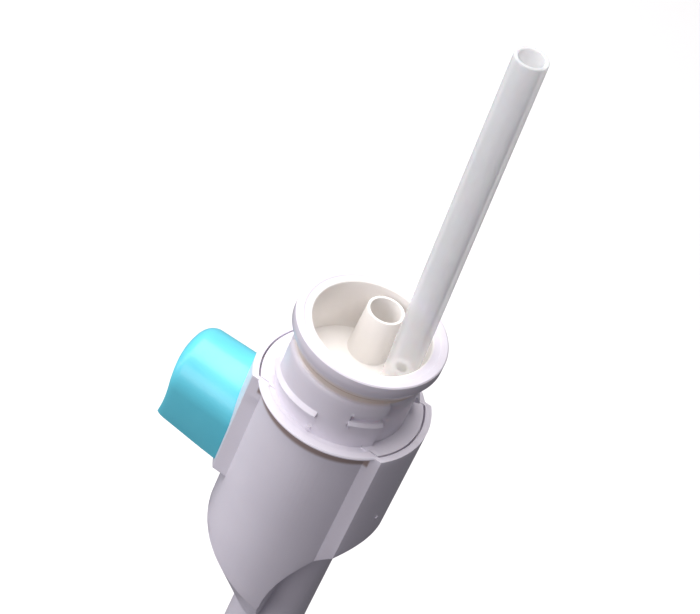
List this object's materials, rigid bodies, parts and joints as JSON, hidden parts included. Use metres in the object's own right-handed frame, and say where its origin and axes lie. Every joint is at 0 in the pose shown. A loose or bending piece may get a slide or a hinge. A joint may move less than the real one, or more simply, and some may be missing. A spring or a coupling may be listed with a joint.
{
  "type": "oral irrigator handle",
  "caption": "Hand-pumped oral irrigator handle with push trigger, open tank neck, leaning suction tube and turning bent jet nozzle; tank removed.",
  "frame": {"origin": "on the tank neck's axis, in the plane of the handle's open end, where the tank's skirt seats", "axes": "+Z along the neck's axis, out of the open end towards the tank and the suction tube; -X towards the trigger; the handle's two shells meet in the plane y = 0"},
  "size_m": [0.0621, 0.0422, 0.2935],
  "materials": {
    "body_plastic": "smooth cool-white moulded plastic",
    "collar_plastic": "smooth white moulded plastic",
    "aqua_plastic": "satin aqua moulded plastic",
    "grey_plastic": "plain moulded plastic",
    "clear_tube": "translucent silicone",
    "seal_rubber": "tan silicone",
    "dark_rubber": "black rubber",
    "steel": "stainless steel"
  },
  "bodies": {
    "handle": {"front_shell": "body_plastic", "rear_shell": "body_plastic", "tank_collar": "collar_plastic", "neck_seal": "seal_rubber", "suction_tube": "clear_tube", "inlet_spigot": "body_plastic", "spigot_seal": "dark_rubber", "vent_valve": "clear_tube", "pump_cylinder": "body_plastic", "cylinder_cap": "body_plastic", "outlet_fitting": "body_plastic", "delivery_tube": "clear_tube", "nozzle_socket": "body_plastic", "shell_screws": "steel", "return_spring": "steel", "inlet_spring": "steel", "outlet_spring": "steel"},
    "trigger": {"trigger": "aqua_plastic", "piston_rod": "steel", "piston": "grey_plastic", "piston_seals": "dark_rubber"},
    "inlet_ball": {"inlet_ball": "steel"},
    "outlet_ball": {"outlet_ball": "steel"},
    "nozzle": {"nozzle_seal": "dark_rubber", "nozzle_base": "body_plastic", "grip_ring": "aqua_plastic", "jet_tube": "body_plastic"}
  },
  "joints": [
    {"name": "trigger_press", "type": "slide", "parent": "handle", "child": "trigger", "axis": [1, 0, 0], "range_m": [0, 0.009], "stiffness_N_per_m": 500, "springref_m": -0.012, "deforming": ["return_spring"]},
    {"name": "inlet_valve_lift", "type": "slide", "parent": "handle", "child": "inlet_ball", "axis": [0, 0, -1], "range_m": [0, 0.001], "stiffness_N_per_m": 60, "springref_m": -0.001, "deforming": ["inlet_spring"]},
    {"name": "outlet_valve_lift", "type": "slide", "parent": "handle", "child": "outlet_ball", "axis": [0, 0, -1], "range_m": [0, 0.001], "stiffness_N_per_m": 60, "springref_m": -0.001, "deforming": ["outlet_spring"]},
    {"name": "nozzle_turn", "type": "hinge", "parent": "handle", "child": "nozzle", "pos_m": [0.0067, 0, -0.112], "axis": [0, 0, -1], "continuous": true}
  ]
}
